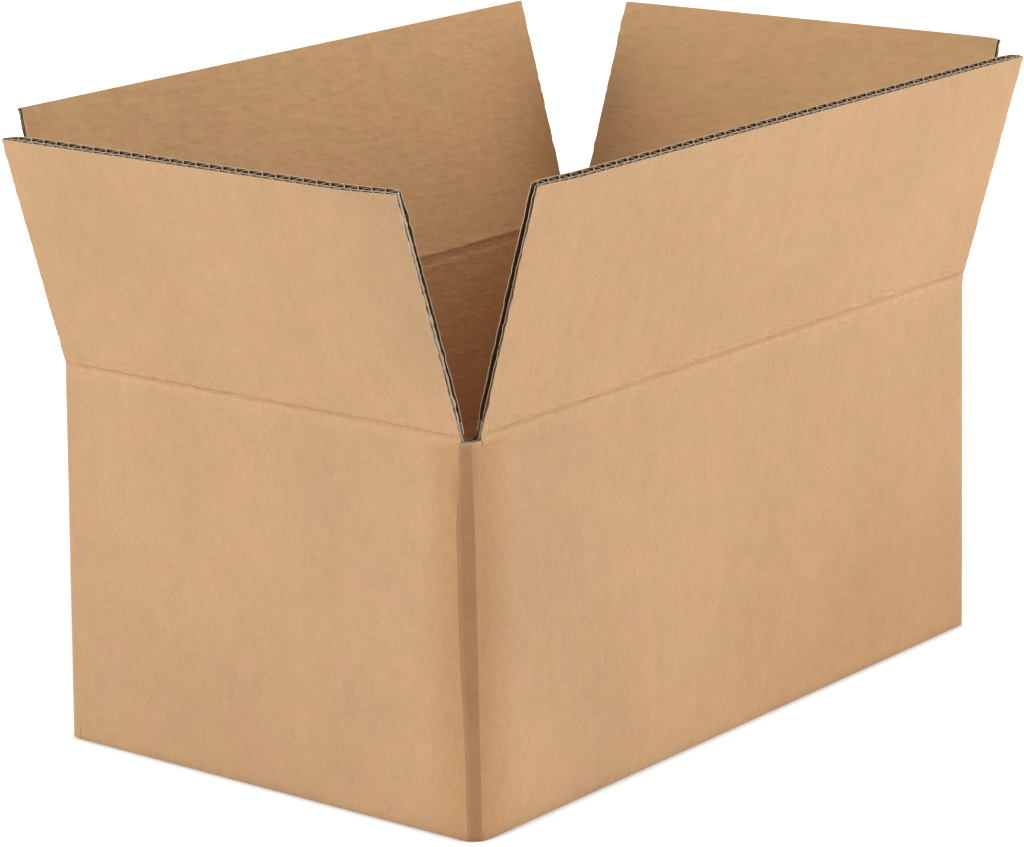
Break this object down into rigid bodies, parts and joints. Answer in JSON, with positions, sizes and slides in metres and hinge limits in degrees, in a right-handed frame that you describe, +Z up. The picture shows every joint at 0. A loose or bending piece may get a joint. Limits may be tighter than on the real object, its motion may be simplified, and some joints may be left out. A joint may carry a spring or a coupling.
{
  "type": "open corrugated carton",
  "caption": "Open slotted carton in plain double-wall corrugated board, folded shut underneath, with its top flaps hinged along the mouth and leaning outwards.",
  "frame": {"origin": "on the floor under the middle of the box", "axes": "+Z up out of the mouth, +X along the length, +Y across the width towards the back wall"},
  "size_m": [0.4636, 0.3073, 0.2946],
  "materials": {
    "kraft_board": "matt natural kraft, unprinted"
  },
  "bodies": {
    "carton": {"carton_body": "kraft_board"},
    "front": {"front_flap": "kraft_board"},
    "back": {"back_flap": "kraft_board"},
    "left": {"left_flap": "kraft_board"},
    "right": {"right_flap": "kraft_board"}
  },
  "joints": [
    {"name": "front_fold", "type": "hinge", "parent": "carton", "child": "front", "pos_m": [0, -0.122, 0.18], "axis": [1, 0, 0], "range_deg": [-107, 153]},
    {"name": "back_fold", "type": "hinge", "parent": "carton", "child": "back", "pos_m": [0, 0.122, 0.18], "axis": [-1, 0, 0], "range_deg": [-104.5, 155.5]},
    {"name": "left_fold", "type": "hinge", "parent": "carton", "child": "left", "pos_m": [-0.19, 0, 0.1729], "axis": [0, -1, 0], "range_deg": [-108.5, 151.5]},
    {"name": "right_fold", "type": "hinge", "parent": "carton", "child": "right", "pos_m": [0.19, 0, 0.1729], "axis": [0, 1, 0], "range_deg": [-111, 149]}
  ]
}
